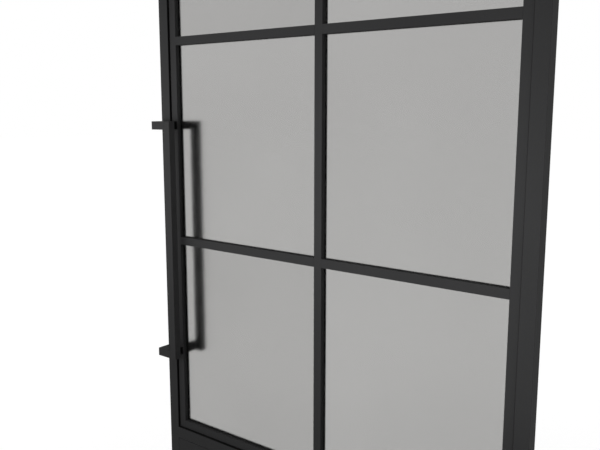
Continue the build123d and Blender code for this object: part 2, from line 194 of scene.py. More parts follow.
class EffectShelf:
    """Builds each shared effect once and places it in the materials that use it."""

    skin_outputs: dict[str, str] = {"Color": "Color", "Roughness": "Float", "Height": "Float"}

    def __init__(self) -> None:
        """Start with an empty shelf."""
        self.builders: dict[Effect, Callable[[str], NodeTree]] = {
            Effect.POWDER: self.powder,
            Effect.EDGES: self.edges,
            Effect.DUST: self.dust,
            Effect.STREAKS: self.streaks,
            Effect.MOULDED: self.moulded,
        }
        self.made: dict[Effect, NodeTree] = {}

    def place(self, effect: Effect, wiring: Wiring, **values: object) -> dict[str, Socket]:
        """Put an effect into a material.

        Args:
            effect: which one.
            wiring: the material's tree.
            values: its inputs, by name with underscores for spaces.

        Returns:
            Its outputs by name.
        """
        if effect not in self.made:
            self.made[effect] = self.builders[effect](effect.value)
        node = wiring.add("ShaderNodeGroup", node_tree=self.made[effect])
        for name, value in values.items():
            wiring.feed(node.inputs[name.replace("_", " ")], value)
        return {socket.name: socket for socket in node.outputs}

    @staticmethod
    def group(name: str, inputs: dict[str, float | Colour], outputs: dict[str, str]) -> tuple[Wiring, Node, Node]:
        """Open a node group with named sockets.

        Args:
            name: the group's name.
            inputs: each input and its usual value, a number or a colour.
            outputs: each output and its kind: Float, Color or Vector.

        Returns:
            Its wiring, its input node and its output node.
        """
        tree = bpy.data.node_groups.new(name, "ShaderNodeTree")
        for label, value in inputs.items():
            kind = "NodeSocketFloat" if isinstance(value, float) else "NodeSocketColor"
            socket = tree.interface.new_socket(label, in_out="INPUT", socket_type=kind)
            socket.default_value = value if isinstance(value, float) else (*value, 1.0)
        for label, kind in outputs.items():
            tree.interface.new_socket(label, in_out="OUTPUT", socket_type=f"NodeSocket{kind}")
        wiring = Wiring(tree)
        return wiring, wiring.add("NodeGroupInput"), wiring.add("NodeGroupOutput")

    @staticmethod
    def skin(
        opened: tuple[Wiring, Node, Node], tone: Socket, band: Pair,
        colours: tuple[str, str], glosses: tuple[str, str], height: Socket,
    ) -> NodeTree:
        """Join a skin's varying tone to its group's colour, roughness and height.

        Args:
            opened: the group's wiring, input node and output node.
            tone: the number that varies over the surface.
            band: the tones between which the colour changes.
            colours: the names of the colours at the band's two ends.
            glosses: the names of the roughnesses at low and high tone.
            height: the height's socket.

        Returns:
            The node group.
        """
        w, given, out = opened
        share = w.spread(tone, *band)
        w.feed(out.inputs["Color"], w.blend(share, *(given.outputs[name] for name in colours)))
        w.feed(out.inputs["Roughness"], w.spread(tone, 0.3, 0.7, *(given.outputs[name] for name in glosses)))
        w.feed(out.inputs["Height"], height)
        return w.tree

    def powder(self, name: str) -> NodeTree:
        """Fine orange peel of a sprayed and baked powder, over a slow drift in tone.

        Args:
            name: the group's name.

        Returns:
            The node group.
        """
        usual = {
            "Paint": (0.04, 0.04, 0.04), "Fleck": (0.06, 0.06, 0.06), "Grain mm": 0.7,
            "Low Gloss": 0.5, "High Gloss": 0.6,
        }
        opened = w, given, _ = self.group(name, usual, self.skin_outputs)
        peel_share, drift_per_metre = 0.6, 3.1
        peel = w.noise(w.sum_of("DIVIDE", MM_PER_M, given.outputs["Grain mm"]), 3.0)
        drift = w.noise(drift_per_metre)
        tone = w.sum_of("ADD", w.sum_of("MULTIPLY", peel, peel_share), w.sum_of("MULTIPLY", drift, 1.0 - peel_share))
        return self.skin(opened, tone, (0.36, 0.64), ("Paint", "Fleck"), ("Low Gloss", "High Gloss"), peel)

    def edges(self, name: str) -> NodeTree:
        """Edges that are a little rounded, and a mask of paler edges: partly paint rubbed thin on them, partly
        painted sheen.

        Args:
            name: the group's name.

        Returns:
            The node group.
        """
        w, given, out = self.group(name, {"Width mm": 0.5, "Rub": 0.5}, {"Mask": "Float", "Normal": "Vector"})
        radius = w.sum_of("DIVIDE", given.outputs["Width mm"], MM_PER_M)
        eased = w.add("ShaderNodeBevel", {"Radius": radius}, samples=4).outputs["Normal"]
        face = w.add("ShaderNodeNewGeometry").outputs["True Normal"]
        along = w.add("ShaderNodeVectorMath", {0: eased, 1: face}, operation="DOT_PRODUCT").outputs["Value"]
        edge = w.spread(along, 0.99, 0.86)
        patches_per_metre = 55.0
        patchy = w.spread(w.noise(patches_per_metre, 4.0), 0.4, 0.62)
        w.feed(out.inputs["Mask"], w.product(edge, patchy, given.outputs["Rub"]))
        w.feed(out.inputs["Normal"], eased)
        return w.tree

    def dust(self, name: str) -> NodeTree:
        """A thin layer of dust where a surface faces up.

        Args:
            name: the group's name.

        Returns:
            The node group.
        """
        w, given, out = self.group(name, {"Amount": 0.2}, {"Mask": "Float"})
        normal = w.add("ShaderNodeNewGeometry").outputs["Normal"]
        ledge = w.spread(w.add("ShaderNodeSeparateXYZ", {0: normal}).outputs["Z"], 0.6, 0.98)
        patches_per_metre = 38.0
        patchy = w.spread(w.noise(patches_per_metre, 5.0), 0.3, 0.75, 0.35)
        w.feed(out.inputs["Mask"], w.product(ledge, patchy, given.outputs["Amount"]))
        return w.tree

    def streaks(self, name: str) -> NodeTree:
        """Fine lines round a turned or drawn metal part.

        Args:
            name: the group's name.

        Returns:
            The node group.
        """
        usual = {"Light": (0.5, 0.5, 0.5), "Dark": (0.3, 0.3, 0.3), "Low Gloss": 0.25, "High Gloss": 0.45}
        opened = w, _, _ = self.group(name, usual, self.skin_outputs)
        lines_per_metre = (40.0, 40.0, 2600.0)
        lines = w.noise(1.0, 3.0, w.stretched(lines_per_metre))
        return self.skin(opened, lines, (0.3, 0.7), ("Dark", "Light"), ("High Gloss", "Low Gloss"), lines)

    def moulded(self, name: str) -> NodeTree:
        """The fine stipple of moulded plastic or rubber, with a faint bloom.

        Args:
            name: the group's name.

        Returns:
            The node group.
        """
        usual = {
            "Body": (0.02, 0.02, 0.02), "Bloom": (0.05, 0.05, 0.05), "Stipple mm": 0.4,
            "Low Gloss": 0.5, "High Gloss": 0.7,
        }
        opened = w, given, _ = self.group(name, usual, self.skin_outputs)
        where = w.add("ShaderNodeTexCoord").outputs["Object"]
        scale = w.sum_of("DIVIDE", MM_PER_M, given.outputs["Stipple mm"])
        pits = w.add("ShaderNodeTexVoronoi", {"Vector": where, "Scale": scale}).outputs["Distance"]
        haze_per_metre = 60.0
        haze = w.noise(haze_per_metre, 3.0)
        return self.skin(opened, haze, (0.45, 0.75), ("Body", "Bloom"), ("Low Gloss", "High Gloss"), pits)


SHELF = EffectShelf()


@dataclass(frozen=True)
class Finish:
    """A finish of the door, with the name of its slot."""

    name: str
    slot: str

    def wire(self, wiring: Wiring, shader: Node) -> None:
        """Join the finish's own nodes to its shader.

        Args:
            wiring: the material's tree.
            shader: its Principled BSDF.
        """
        raise NotImplementedError

    def material(self) -> bpy.types.Material:
        """Give the finish's material, made the first time it is asked for.

        Returns:
            The material.
        """
        made = bpy.data.materials.get(self.name)
        if made is None:
            made = bpy.data.materials.new(self.name)
            made.use_nodes = True
            wiring = Wiring(made.node_tree)
            shader = next(n for n in made.node_tree.nodes if n.type == "BSDF_PRINCIPLED")
            self.wire(wiring, shader)
        return made

    def dress(self, piece: bpy.types.Object) -> None:
        """Put the finish on a piece.

        Args:
            piece: a mesh object.
        """
        if not piece.material_slots:
            piece.data.materials.append(self.material())
        for place in piece.material_slots:
            place.material = self.material()

    @staticmethod
    def coat(wiring: Wiring, shader: Node, colour: object, roughness: object, **plain: float) -> None:
        """Join a colour and a roughness to the shader, and set its plain values.

        Args:
            wiring: the material's tree.
            shader: its Principled BSDF.
            colour: the colour's socket.
            roughness: the roughness's socket.
            plain: other inputs by name, with underscores for spaces, each the same all over.
        """
        wiring.feed(shader.inputs["Base Color"], colour)
        wiring.feed(shader.inputs["Roughness"], roughness)
        for name, value in plain.items():
            shader.inputs[name.replace("_", " ")].default_value = value

    @staticmethod
    def dusted(wiring: Wiring, colour: object, amount: float, dust_colour: Colour) -> Socket:
        """Lay dust over a colour where the surface faces up.

        Args:
            wiring: the material's tree.
            colour: the colour's socket.
            amount: how much of it the dust hides.
            dust_colour: the dust's own colour.

        Returns:
            The dusty colour's socket.
        """
        dust = SHELF.place(Effect.DUST, wiring, Amount=amount)
        return wiring.blend(dust["Mask"], colour, dust_colour)

    @staticmethod
    def bump(
        wiring: Wiring, shader: Node, height: object, relief: Pair, over: object | None = None,
    ) -> None:
        """Raise the surface by a height that varies over it.

        Args:
            wiring: the material's tree.
            shader: its Principled BSDF.
            height: the height's socket.
            relief: how deep it is in millimetres, and how much of it shows.
            over: a normal that it is laid over.
        """
        inputs = {"Height": height, "Distance": relief[0] * MM, "Strength": relief[1]}
        if over is not None:
            inputs["Normal"] = over
        wiring.feed(shader.inputs["Normal"], wiring.add("ShaderNodeBump", inputs).outputs["Normal"])


@dataclass(frozen=True)
class PowderCoat(Finish):
    """Matt black powder coat on steel, paler at its edges: partly rubbed paint, partly painted sheen."""

    paint: Colour = (0.026, 0.026, 0.0265)
    fleck: Colour = (0.033, 0.033, 0.0335)
    rubbed_and_sheen: Colour = (0.075, 0.075, 0.076)
    dust_colour: Colour = (0.2, 0.19, 0.175)
    dust: float = 0.015
    grain_mm: float = 0.7
    low_gloss: float = 0.62
    high_gloss: float = 0.76
    shine: float = 0.05
    edge_mm: float = 0.5
    rub_and_sheen: float = 0.35
    relief: Pair = (0.05, 0.35)

    def wire(self, wiring: Wiring, shader: Node) -> None:
        """Join powder texture, eased edges and dust to the shader.

        Args:
            wiring: the material's tree.
            shader: its Principled BSDF.
        """
        powder = SHELF.place(
            Effect.POWDER, wiring, Paint=self.paint, Fleck=self.fleck, Grain_mm=self.grain_mm,
            Low_Gloss=self.low_gloss, High_Gloss=self.high_gloss,
        )
        edge = SHELF.place(Effect.EDGES, wiring, Width_mm=self.edge_mm, Rub=self.rub_and_sheen)
        # paler edges: partly paint rubbed thin, partly painted sheen, on hollow edges as well as outer ones
        worn_and_sheen = wiring.blend(edge["Mask"], powder["Color"], self.rubbed_and_sheen)
        colour = self.dusted(wiring, worn_and_sheen, self.dust, self.dust_colour)
        self.coat(wiring, shader, colour, powder["Roughness"], Specular_IOR_Level=self.shine)
        self.bump(wiring, shader, powder["Height"], self.relief, edge["Normal"])


@dataclass(frozen=True)
class SatinGlass(Finish):
    """Acid-etched glass: light passes, shapes behind it blur with distance."""

    tint: Colour = (0.40, 0.397, 0.39)
    cloudy: Colour = (0.385, 0.382, 0.375)
    rough: float = 0.205
    rough_drift: float = 0.01
    index: float = 1.5
    clouds_per_metre: float = 1.7
    tooth_per_metre: float = 2600.0
    relief: Pair = (0.01, 0.03)

    def wire(self, wiring: Wiring, shader: Node) -> None:
        """Join the etch's faint clouds and fine tooth to the shader.

        Args:
            wiring: the material's tree.
            shader: its Principled BSDF.
        """
        etch = wiring.spread(wiring.noise(self.clouds_per_metre), 0.35, 0.65)
        colour = wiring.blend(etch, self.tint, self.cloudy)
        rough = wiring.spread(etch, 0.0, 1.0, self.rough - self.rough_drift, self.rough + self.rough_drift)
        self.coat(wiring, shader, colour, rough, Transmission_Weight=1.0, IOR=self.index)
        self.bump(wiring, shader, wiring.noise(self.tooth_per_metre), self.relief)


@dataclass(frozen=True)
class MouldedBlack(Finish):
    """Black rubber or plastic with a stippled skin."""

    body: Colour = (0.01, 0.01, 0.01)
    bloom: Colour = (0.018, 0.018, 0.0175)
    dust_colour: Colour = (0.16, 0.155, 0.145)
    dust: float = 0.05
    stipple_mm: float = 0.35
    low_gloss: float = 0.6
    high_gloss: float = 0.8
    shine: float = 0.1
    relief: Pair = (0.03, 0.25)

    def wire(self, wiring: Wiring, shader: Node) -> None:
        """Join the stippled skin to the shader.

        Args:
            wiring: the material's tree.
            shader: its Principled BSDF.
        """
        skin = SHELF.place(
            Effect.MOULDED, wiring, Body=self.body, Bloom=self.bloom, Stipple_mm=self.stipple_mm,
            Low_Gloss=self.low_gloss, High_Gloss=self.high_gloss,
        )
        colour = self.dusted(wiring, skin["Color"], self.dust, self.dust_colour)
        self.coat(wiring, shader, colour, skin["Roughness"], Specular_IOR_Level=self.shine)
        self.bump(wiring, shader, skin["Height"], self.relief)


@dataclass(frozen=True)
class TurnedMetal(Finish):
    """Turned or drawn metal with fine lines."""

    light: Colour = (0.42, 0.42, 0.43)
    dark: Colour = (0.28, 0.28, 0.29)
    low_gloss: float = 0.28
    high_gloss: float = 0.5
    edge_mm: float = 0.2
    rub_and_sheen: float = 0.5
    relief: Pair = (0.01, 0.15)

    def wire(self, wiring: Wiring, shader: Node) -> None:
        """Join the fine lines to the shader.

        Args:
            wiring: the material's tree.
            shader: its Principled BSDF.
        """
        lines = SHELF.place(
            Effect.STREAKS, wiring, Light=self.light, Dark=self.dark,
            Low_Gloss=self.low_gloss, High_Gloss=self.high_gloss,
        )
        edge = SHELF.place(Effect.EDGES, wiring, Width_mm=self.edge_mm, Rub=self.rub_and_sheen)
        # paler edges: partly rubbed metal, partly painted sheen
        rubbed_and_sheen_edges = wiring.blend(edge["Mask"], lines["Color"], self.light)
        self.coat(wiring, shader, rubbed_and_sheen_edges, lines["Roughness"], Metallic=1.0)
        self.bump(wiring, shader, lines["Height"], self.relief, edge["Normal"])


@dataclass(frozen=True)
class FacedBoard(Finish):
    """Fibreboard with a black face film, a little lighter where its fibres show through."""

    film: Colour = (0.026, 0.026, 0.027)
    scuffed: Colour = (0.05, 0.047, 0.044)
    dust_colour: Colour = (0.18, 0.17, 0.155)
    dust: float = 0.08
    low_gloss: float = 0.5
    high_gloss: float = 0.68
    shine: float = 0.2
    fibres_per_metre: Triple = (30.0, 260.0, 420.0)
    relief: Pair = (0.05, 0.3)

    def wire(self, wiring: Wiring, shader: Node) -> None:
        """Join the film's long fine fibres to the shader.

        Args:
            wiring: the material's tree.
            shader: its Principled BSDF.
        """
        fibres = wiring.noise(1.0, 5.0, wiring.stretched(self.fibres_per_metre))
        board = wiring.blend(wiring.spread(fibres, 0.42, 0.78), self.film, self.scuffed)
        colour = self.dusted(wiring, board, self.dust, self.dust_colour)
        rough = wiring.spread(fibres, 0.3, 0.7, self.low_gloss, self.high_gloss)
        self.coat(wiring, shader, colour, rough, Specular_IOR_Level=self.shine)
        self.bump(wiring, shader, fibres, self.relief)


@dataclass(frozen=True)
class DoorFinishes:
    """Every finish of the door."""

    frame_paint: Finish = PowderCoat("frame_powder_coat", "frame_paint")
    panel_paint: Finish = PowderCoat("panel_powder_coat", "panel_paint", grain_mm=0.8)
    handle_paint: Finish = PowderCoat("handle_powder_coat", "handle_paint", grain_mm=0.55, edge_mm=0.6, rub_and_sheen=0.45)
    satin_glass: Finish = SatinGlass("etched_satin_glass", "satin_glass")
    # a darker copy of the satin glass for two panes on the left: painted shade, the same glass shown as if it got
    # less light
    painted_shade_glass: Finish = SatinGlass(
        "painted_shade_satin_glass", "satin_glass", tint=(0.372, 0.369, 0.362), cloudy=(0.356, 0.353, 0.346),
    )
    rubber: Finish = MouldedBlack("black_seal_rubber", "rubber")
    # near-black pile, darker than any rubber here: painted shade for the gap round the leaf and the ends of the
    # handle blocks
    painted_shade_pile: Finish = MouldedBlack(
        "painted_shade_black_pile", "rubber", body=(0.003, 0.003, 0.003), bloom=(0.005, 0.005, 0.005), shine=0.02,
    )
    black_plastic: Finish = MouldedBlack(
        "moulded_black_plastic", "black_plastic", body=(0.024, 0.024, 0.025), bloom=(0.036, 0.036, 0.036),
        stipple_mm=0.6, low_gloss=0.4, high_gloss=0.55, shine=0.35,
    )
    fastener_steel: Finish = TurnedMetal(
        "blackened_steel", "fastener_steel", light=(0.11, 0.11, 0.115), dark=(0.055, 0.055, 0.06),
    )
    pole_steel: Finish = TurnedMetal(
        "ground_pole_steel", "fastener_steel", light=(0.5, 0.5, 0.5), dark=(0.36, 0.36, 0.37),
    )
    brass: Finish = TurnedMetal("turned_brass", "brass", light=(0.62, 0.47, 0.22), dark=(0.45, 0.32, 0.13))
    core_board: Finish = FacedBoard("black_faced_board", "core_board")
    magnet_case: Finish = MouldedBlack("magnet_case_black", "magnet_case", stipple_mm=0.5, shine=0.3)


def round_outline(radius_mm: float) -> OutlineRule:
    """A circle's radius at any angle."""
    return lambda angle: radius_mm


def hexagon_outline(across_mm: float) -> OutlineRule:
    """A hexagon socket's radius at any angle, from its size across the flats."""
    return lambda angle: across_mm / 2 / math.cos((angle % (math.pi / 3)) - math.pi / 6)


def cross_outline(reach_mm: float, waist_mm: float) -> OutlineRule:
    """A cross recess's radius at any angle, from its arms' reach and its waist."""
    return lambda angle: waist_mm + (reach_mm - waist_mm) * max(0.0, math.cos(4 * angle)) ** 0.7


def square_outline(half_mm: float) -> OutlineRule:
    """A square pad's radius at any angle, with well rounded corners."""
    return lambda angle: half_mm / (abs(math.cos(angle)) ** 7 + abs(math.sin(angle)) ** 7) ** (1 / 7)


def facing(place: Sequence[float], outward: Sequence[float]) -> Matrix:
    """A place whose local Z points outward.

    Args:
        place: the point, in metres.
        outward: the direction.

    Returns:
        The matrix from local millimetres to metres.
    """
    turn = Vector(outward).to_track_quat("Z", "Y").to_matrix().to_4x4()
    return Matrix.Translation(Vector(place)) @ turn @ Matrix.Scale(MM, 4)


def join_loops(mesh: BMesh, loops: Sequence[list[bmesh.types.BMVert]]) -> None:
    """Join each loop of points to the next with a band of faces.

    Args:
        mesh: the mesh that the points are in.
        loops: the loops, in order.
    """
    for near, far in zip(loops, loops[1:]):
        for i in range(len(near)):
            j = (i + 1) % len(near)
            mesh.faces.new((near[i], near[j], far[j], far[i]))


def close_body(mesh: BMesh, loops: Sequence[list[bmesh.types.BMVert]]) -> None:
    """Join the loops and close both ends, so that they bound a solid.

    Args:
        mesh: the mesh that the points are in.
        loops: the loops, in order.
    """
    join_loops(mesh, loops)
    mesh.faces.new(list(reversed(loops[0])))
    mesh.faces.new(loops[-1])


class Turning:
    """Closed bodies made of rings, one outline after another along a line."""

    def __init__(self, steps: int = 32) -> None:
        """Start an empty mesh.

        Args:
            steps: points round each ring.
        """
        self.mesh = bmesh.new()
        self.steps = steps

    def add(self, place: Matrix, rings: Sequence[Ring]) -> None:
        """Add one body.

        Args:
            place: where it stands, its line along local Z.
            rings: a height and an outline for each ring, in millimetres, from one closed end to the other.
        """
        angles = [2 * math.pi * i / self.steps for i in range(self.steps)]
        loops = []
        for height, rule in rings:
            radius_at = round_outline(rule) if isinstance(rule, (int, float)) else rule
            spots = [(radius_at(angle), angle) for angle in angles]
            points = [Vector((r * math.cos(angle), r * math.sin(angle), height)) for r, angle in spots]
            loops.append([self.mesh.verts.new(place @ point) for point in points])
        close_body(self.mesh, loops)


class Drawn:
    """Straight bodies drawn out along a line."""

    def __init__(self) -> None:
        """Start an empty mesh."""
        self.mesh = bmesh.new()

    def add(self, section: Callable[[float], list[Vector]], stations: Sequence[float], along: Vector) -> None:
        """Add one body whose section may change along its length.

        Args:
            section: the points of the section at a station, in metres.
            stations: how far along each section stands, in metres.
            along: the direction it runs in.
        """
        close_body(self.mesh, [[self.mesh.verts.new(p + along * s) for p in section(s)] for s in stations])

    def bar(self, outline: list[Vector], ends: Sequence[float], along: Vector) -> None:
        """Add one body that keeps its outline from end to end."""
        self.add(lambda station: outline, ends, along)

    def block(self, low: Sequence[float], high: Sequence[float], ease_mm: float) -> None:
        """Add a block with eased edges.

        Args:
            low: its lowest corner, in metres.
            high: its highest corner, in metres.
            ease_mm: the width of the easing.
        """
        x, y, z = zip(low, high)
        made = bmesh.ops.create_cube(self.mesh, size=1.0)
        for vert in made["verts"]:
            vert.co = Vector((x[vert.co.x > 0], y[vert.co.y > 0], z[vert.co.z > 0]))
        edges = list({e for v in made["verts"] for e in v.link_edges})
        bmesh.ops.bevel(self.mesh, geom=edges, offset=ease_mm * MM, segments=3, profile=0.5, affect="EDGES")


class Bench:
    """Turns a mesh into a piece of the door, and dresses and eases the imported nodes."""

    @staticmethod
    def piece(name: str, mesh: BMesh, finish: Finish, body: str, stands_for: Sequence[str] = ()) -> None:
        """Make one piece.

        Args:
            name: the piece's name.
            mesh: its shape, in metres in the row frame.
            finish: its finish.
            body: the body that it moves with.
            stands_for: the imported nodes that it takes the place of.
        """
        bmesh.ops.recalc_face_normals(mesh, faces=mesh.faces)
        data = bpy.data.meshes.new(name)
        mesh.to_mesh(data)
        mesh.free()
        for face in data.polygons:
            face.use_smooth = True
        data.set_sharp_from_angle(angle=math.radians(SHARP_DEGREES))
        made = bpy.data.objects.new(name, data)
        bpy.context.scene.collection.objects.link(made)
        finish.dress(made)
        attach(made, body)
        if stands_for:
            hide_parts(*stands_for)
        log.info("%s: %d faces, rides on %s", name, len(data.polygons), body)

    @staticmethod
    def dress(finish: Finish, *nodes: str) -> None:
        """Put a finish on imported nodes.

        Args:
            finish: the finish.
            nodes: the nodes' names.
        """
        for node in nodes:
            finish.dress(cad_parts[node])
            log.info("%s: %s", node, finish.name)

    @staticmethod
    def ease(width_mm: float, *nodes: str) -> None:
        """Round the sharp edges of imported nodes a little, with modifiers alone.

        Args:
            width_mm: the width of the easing.
            nodes: the nodes' names.
        """
        for node in nodes:
            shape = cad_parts[node]
            weld = shape.modifiers.new("joined_corners", "WELD")
            weld.merge_threshold = JOINED_MM * MM
            eased = shape.modifiers.new("eased_edges", "BEVEL")
            eased.width = width_mm * MM
            eased.segments = 2
            eased.limit_method = "ANGLE"
            eased.angle_limit = math.radians(EASED_DEGREES)


@dataclass
class SmallScrew:
    """A screw with a cross recess, in millimetres: its head, its shank and how deep it goes."""

    head_radius: float
    head_height: float
    shank_radius: float
    length: float
    countersunk: bool
    pan_dome: tuple[Pair, ...] = ((0.0, 0.96), (0.35, 1.0), (0.7, 0.93), (0.92, 0.78), (1.0, 0.66))
    csk_rim: tuple[Pair, ...] = ((-0.25, 0.95), (-0.06, 0.985), (0.0, 0.93))
    recess_mouth: Pair = (0.62, 0.17)
    recess_floor: Pair = (0.36, 0.12)
    recess_height: Pair = (-0.75, 0.3)
    tip: float = 0.25
    thread: float = 0.92
    neck: float = 0.95

    def rings(self) -> list[Ring]:
        """List the screw's rings from its point to the floor of its recess.

        Returns:
            Heights and outlines, with 0 at the seat of a pan head or the top of a countersunk one.
        """
        r, shank, head = self.head_radius, self.shank_radius, self.head_height
        mouth = cross_outline(*(r * share for share in self.recess_mouth))
        floor = cross_outline(*(r * share for share in self.recess_floor))
        body: list[Ring] = [(-self.length, shank * self.tip), (-self.length + shank, shank * self.thread)]
        if self.countersunk:
            body += [(-head, shank * self.neck), *((height, r * share) for height, share in self.csk_rim)]
            return body + [(0.0, mouth), (head * self.recess_height[0], floor)]
        body += [(0.0, shank * self.neck), *((head * height, r * share) for height, share in self.pan_dome)]
        return body + [(head, mouth), (head * self.recess_height[1], floor)]


@dataclass
class FixedFrame:
    """The welded square-tube frame, with its stops, seals, plugs, seams and the linings of its gaps."""

    finishes: DoorFinishes
    stop_ease: float = 0.4
    tube_edge: float = 1.0
    weld_pitch: float = 1.3
    weld_waves: tuple[Pair, ...] = ((0.05, 2.4), (0.03, 0.9))
    weld_bead: tuple[Triple, ...] = (
        (-0.55, -0.12, 0.0), (0.0, 0.03, 0.4), (0.55, 0.05, 0.4), (1.25, -0.05, 0.0), (0.2, -1.1, 0.0),
    )
    seal_width: float = 4.0
    seal_waist: float = 0.97
    seal_side: float = 0.3
    seal_steps: int = 12
    seal_inset: float = 2.875
    seal_groove: float = 2.0
    seal_gap: float = 0.3
    screw_inset: float = 60.0
    screw_back: float = 8.0
    side_screws: int = 4
    pile_inset: float = 0.5
    pile_height: float = 1.2
    pile_stop: float = 3.0
    pile_ease: float = 0.1
    strip_gap: float = 0.2
    strip_inset: float = 0.05
    strip_depth: float = 6.0
    strip_shy: float = 0.9
    strip_edge: float = 0.3
    strip_lift: float = 0.1
    stop_screw: SmallScrew = field(default_factory=lambda: SmallScrew(3.8, 2.2, 2.0, 10.0, False))

    def build(self) -> None:
        """Dress the tubes and build what is welded, pressed and screwed to them."""
        Bench.dress(self.finishes.frame_paint, "post_left", "post_right", "sill", "transom", "head")
        Bench.dress(self.finishes.frame_paint, "stop_head", "stop_transom", "stop_hinge_side")
        Bench.dress(self.finishes.black_plastic, "post_caps", "post_feet")
        Bench.ease(self.stop_ease, "stop_head", "stop_transom", "stop_hinge_side")
        self.seams()
        self.hinge_gap_strip()
        self.gap_painted_shade_pile()
        self.seals()
        self.screws()

    def hinge_gap_strip(self) -> None:
        """Close the gap beside the hinges with a thin strip on the post, raised between the two hinges."""
        leaf_low, leaf_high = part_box("leaf_stile_right")
        post_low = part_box("post_right")[0]
        left, right = leaf_high.x + self.strip_gap * MM, post_low.x
        front, back = leaf_low.y + self.strip_inset * MM, leaf_low.y + self.strip_depth * MM
        shelf, bead_front = right - self.strip_edge * MM, post_low.y + self.strip_shy * MM
        flat = [(left, back), (left, front), (right, front), (right, back)]
        lifted = front - self.strip_lift * MM
        bead = [(left, front), (left, lifted), (shelf, bead_front), (right, bead_front), (right, front)]
        halves = ("frame", "leaf")
        between = (
            min(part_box(f"hinge_{half}_knuckle_lower")[1].z for half in halves),
            max(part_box(f"hinge_{half}_knuckle_upper")[0].z for half in halves),
        )
        strip = Drawn()
        for outline, ends in ((flat, (leaf_low.z, leaf_high.z)), (bead, between)):
            strip.bar([Vector((x, y, 0.0)) for x, y in outline], ends, UP)
        Bench.piece("hinge_gap_strip", strip.mesh, self.finishes.frame_paint, "frame")

    def gap_painted_shade_pile(self) -> None:
        """Line the gap round the leaf with short pile, on the latch side, the head and the transom; its near-black
        colour is painted shade that darkens the gap.
        """
        left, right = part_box("post_left")[1].x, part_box("post_right")[0].x - self.pile_stop * MM
        low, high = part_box("transom")[1].z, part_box("head")[0].z
        front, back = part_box("post_left")[0].y + self.pile_inset * MM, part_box("leaf_stile_left")[1].y
        t = self.pile_height * MM
        painted_shade_pile = Drawn()
        painted_shade_pile.block((left, front, low), (left + t, back, high), self.pile_ease)
        for bottom in (low, high - t):
            painted_shade_pile.block((left + t, front, bottom), (right, back, bottom + t), self.pile_ease)
        Bench.piece("gap_painted_shade_pile", painted_shade_pile.mesh, self.finishes.painted_shade_pile, "frame")

    def bead(self, edge: float, side: int, face: float, out: int) -> Callable[[float], list[Vector]]:
        """Give the section of one bead of weld, with the ripple of its passes.

        Args:
            edge: how far the post's inner face is from the middle, in metres.
            side: -1 at the left post, 1 at the right.
            face: where the tubes' face lies along Y, in metres.
            out: which way that face looks along Y.

        Returns:
            The section's points at any height.
        """
        (coarse, coarse_turn), (fine, fine_turn) = self.weld_waves

        def section(station: float) -> list[Vector]:
            """Place the section at one height.

            Args:
                station: the height, in metres.

            Returns:
                The section's points.
            """
            ripple = coarse * math.sin(station / MM * coarse_turn + side) + fine * math.sin(station / MM * fine_turn)
            spots = [(u, v + ripple * share) for u, v, share in self.weld_bead]
            return [Vector((side * (edge + u * MM), face + out * v * MM, 0.0)) for u, v in spots]

        return section

    def seams(self) -> None:
        """Fill the corners between tubes with ground weld, front and back."""
        seam = Drawn()
        low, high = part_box("post_right")
        r = self.tube_edge * MM
        for member in ("sill", "transom", "head"):
            member_low, member_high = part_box(member)
            start, length = member_low.z + r, member_high.z - member_low.z - 2 * r
            count = round(length / (self.weld_pitch * MM))
            stations = [start + length * i / count for i in range(count + 1)]
            for side in (-1, 1):
                for face, out in ((low.y, -1), (high.y, 1)):
                    seam.add(self.bead(low.x, side, face, out), stations, UP)
        Bench.piece("ground_weld_seams", seam.mesh, self.finishes.frame_paint, "frame")

    def seals(self) -> None:
        """Press a bulb seal into the groove of each stop."""
        leaf_low, leaf_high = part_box("leaf_stile_left")[0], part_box("leaf_stile_right")[1]
        head, transom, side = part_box("stop_head"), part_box("stop_transom"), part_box("stop_hinge_side")
        groove, half, inset = self.seal_groove * MM, self.seal_width / 2 * MM, self.seal_inset * MM
        floor, root = head[0].y + groove, groove + self.seal_side * MM
        bulge = floor - (leaf_high.y + self.seal_gap * MM) - root
        outline = [(-half, 0.0), (-half, groove)]
        for i in range(self.seal_steps + 1):
            angle = math.pi * (1 - i / self.seal_steps)
            outline.append((half * self.seal_waist * math.cos(angle), root + bulge * math.sin(angle)))
        outline += [(half, groove), (half, 0.0)]
        seal = Drawn()
        for z in (head[0].z + inset, transom[1].z - inset):
            seal.bar([Vector((0.0, floor - v, z + u)) for u, v in outline], (leaf_low.x, leaf_high.x), ACROSS)
        upright = [Vector((side[0].x + inset + u, floor - v, 0.0)) for u, v in outline]
        seal.bar(upright, (side[0].z, side[1].z), UP)
        Bench.piece("stop_bulb_seals", seal.mesh, self.finishes.rubber, "frame", ["stop_seals"])

    def screws(self) -> None:
        """Drive the pan-head screws of the stops."""
        turned = Turning(24)
        post_low, post_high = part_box("post_left")[1].x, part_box("post_right")[0].x
        inset, back = self.screw_inset * MM, self.screw_back * MM
        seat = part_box("stop_head")[1].y
        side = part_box("stop_hinge_side")
        places = []
        for z in (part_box("stop_head")[1].z - back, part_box("stop_transom")[0].z + back):
            places += [(x, z) for x in (post_low + inset, (post_low + post_high) / 2, post_high - inset)]
        low, high = side[0].z + inset, side[1].z - inset
        last = self.side_screws - 1
        places += [(side[1].x - back, low + (high - low) * i / last) for i in range(self.side_screws)]
        for x, z in places:
            turned.add(facing((x, seat, z), (0, 1, 0)), self.stop_screw.rings())
        Bench.piece("stop_pan_screws", turned.mesh, self.finishes.fastener_steel, "frame", ["stop_screws"])


@dataclass
class LowerPanel:
    """The flush panel under the transom, its core and the beads behind it."""

    finishes: DoorFinishes
    bead_ease: float = 0.5

    def build(self) -> None:
        """Dress the panel and ease the beads' edges."""
        Bench.dress(self.finishes.panel_paint, "base_panel")
        Bench.dress(self.finishes.frame_paint, "panel_beads")
        Bench.dress(self.finishes.core_board, "panel_core")
        Bench.ease(self.bead_ease, "panel_beads")


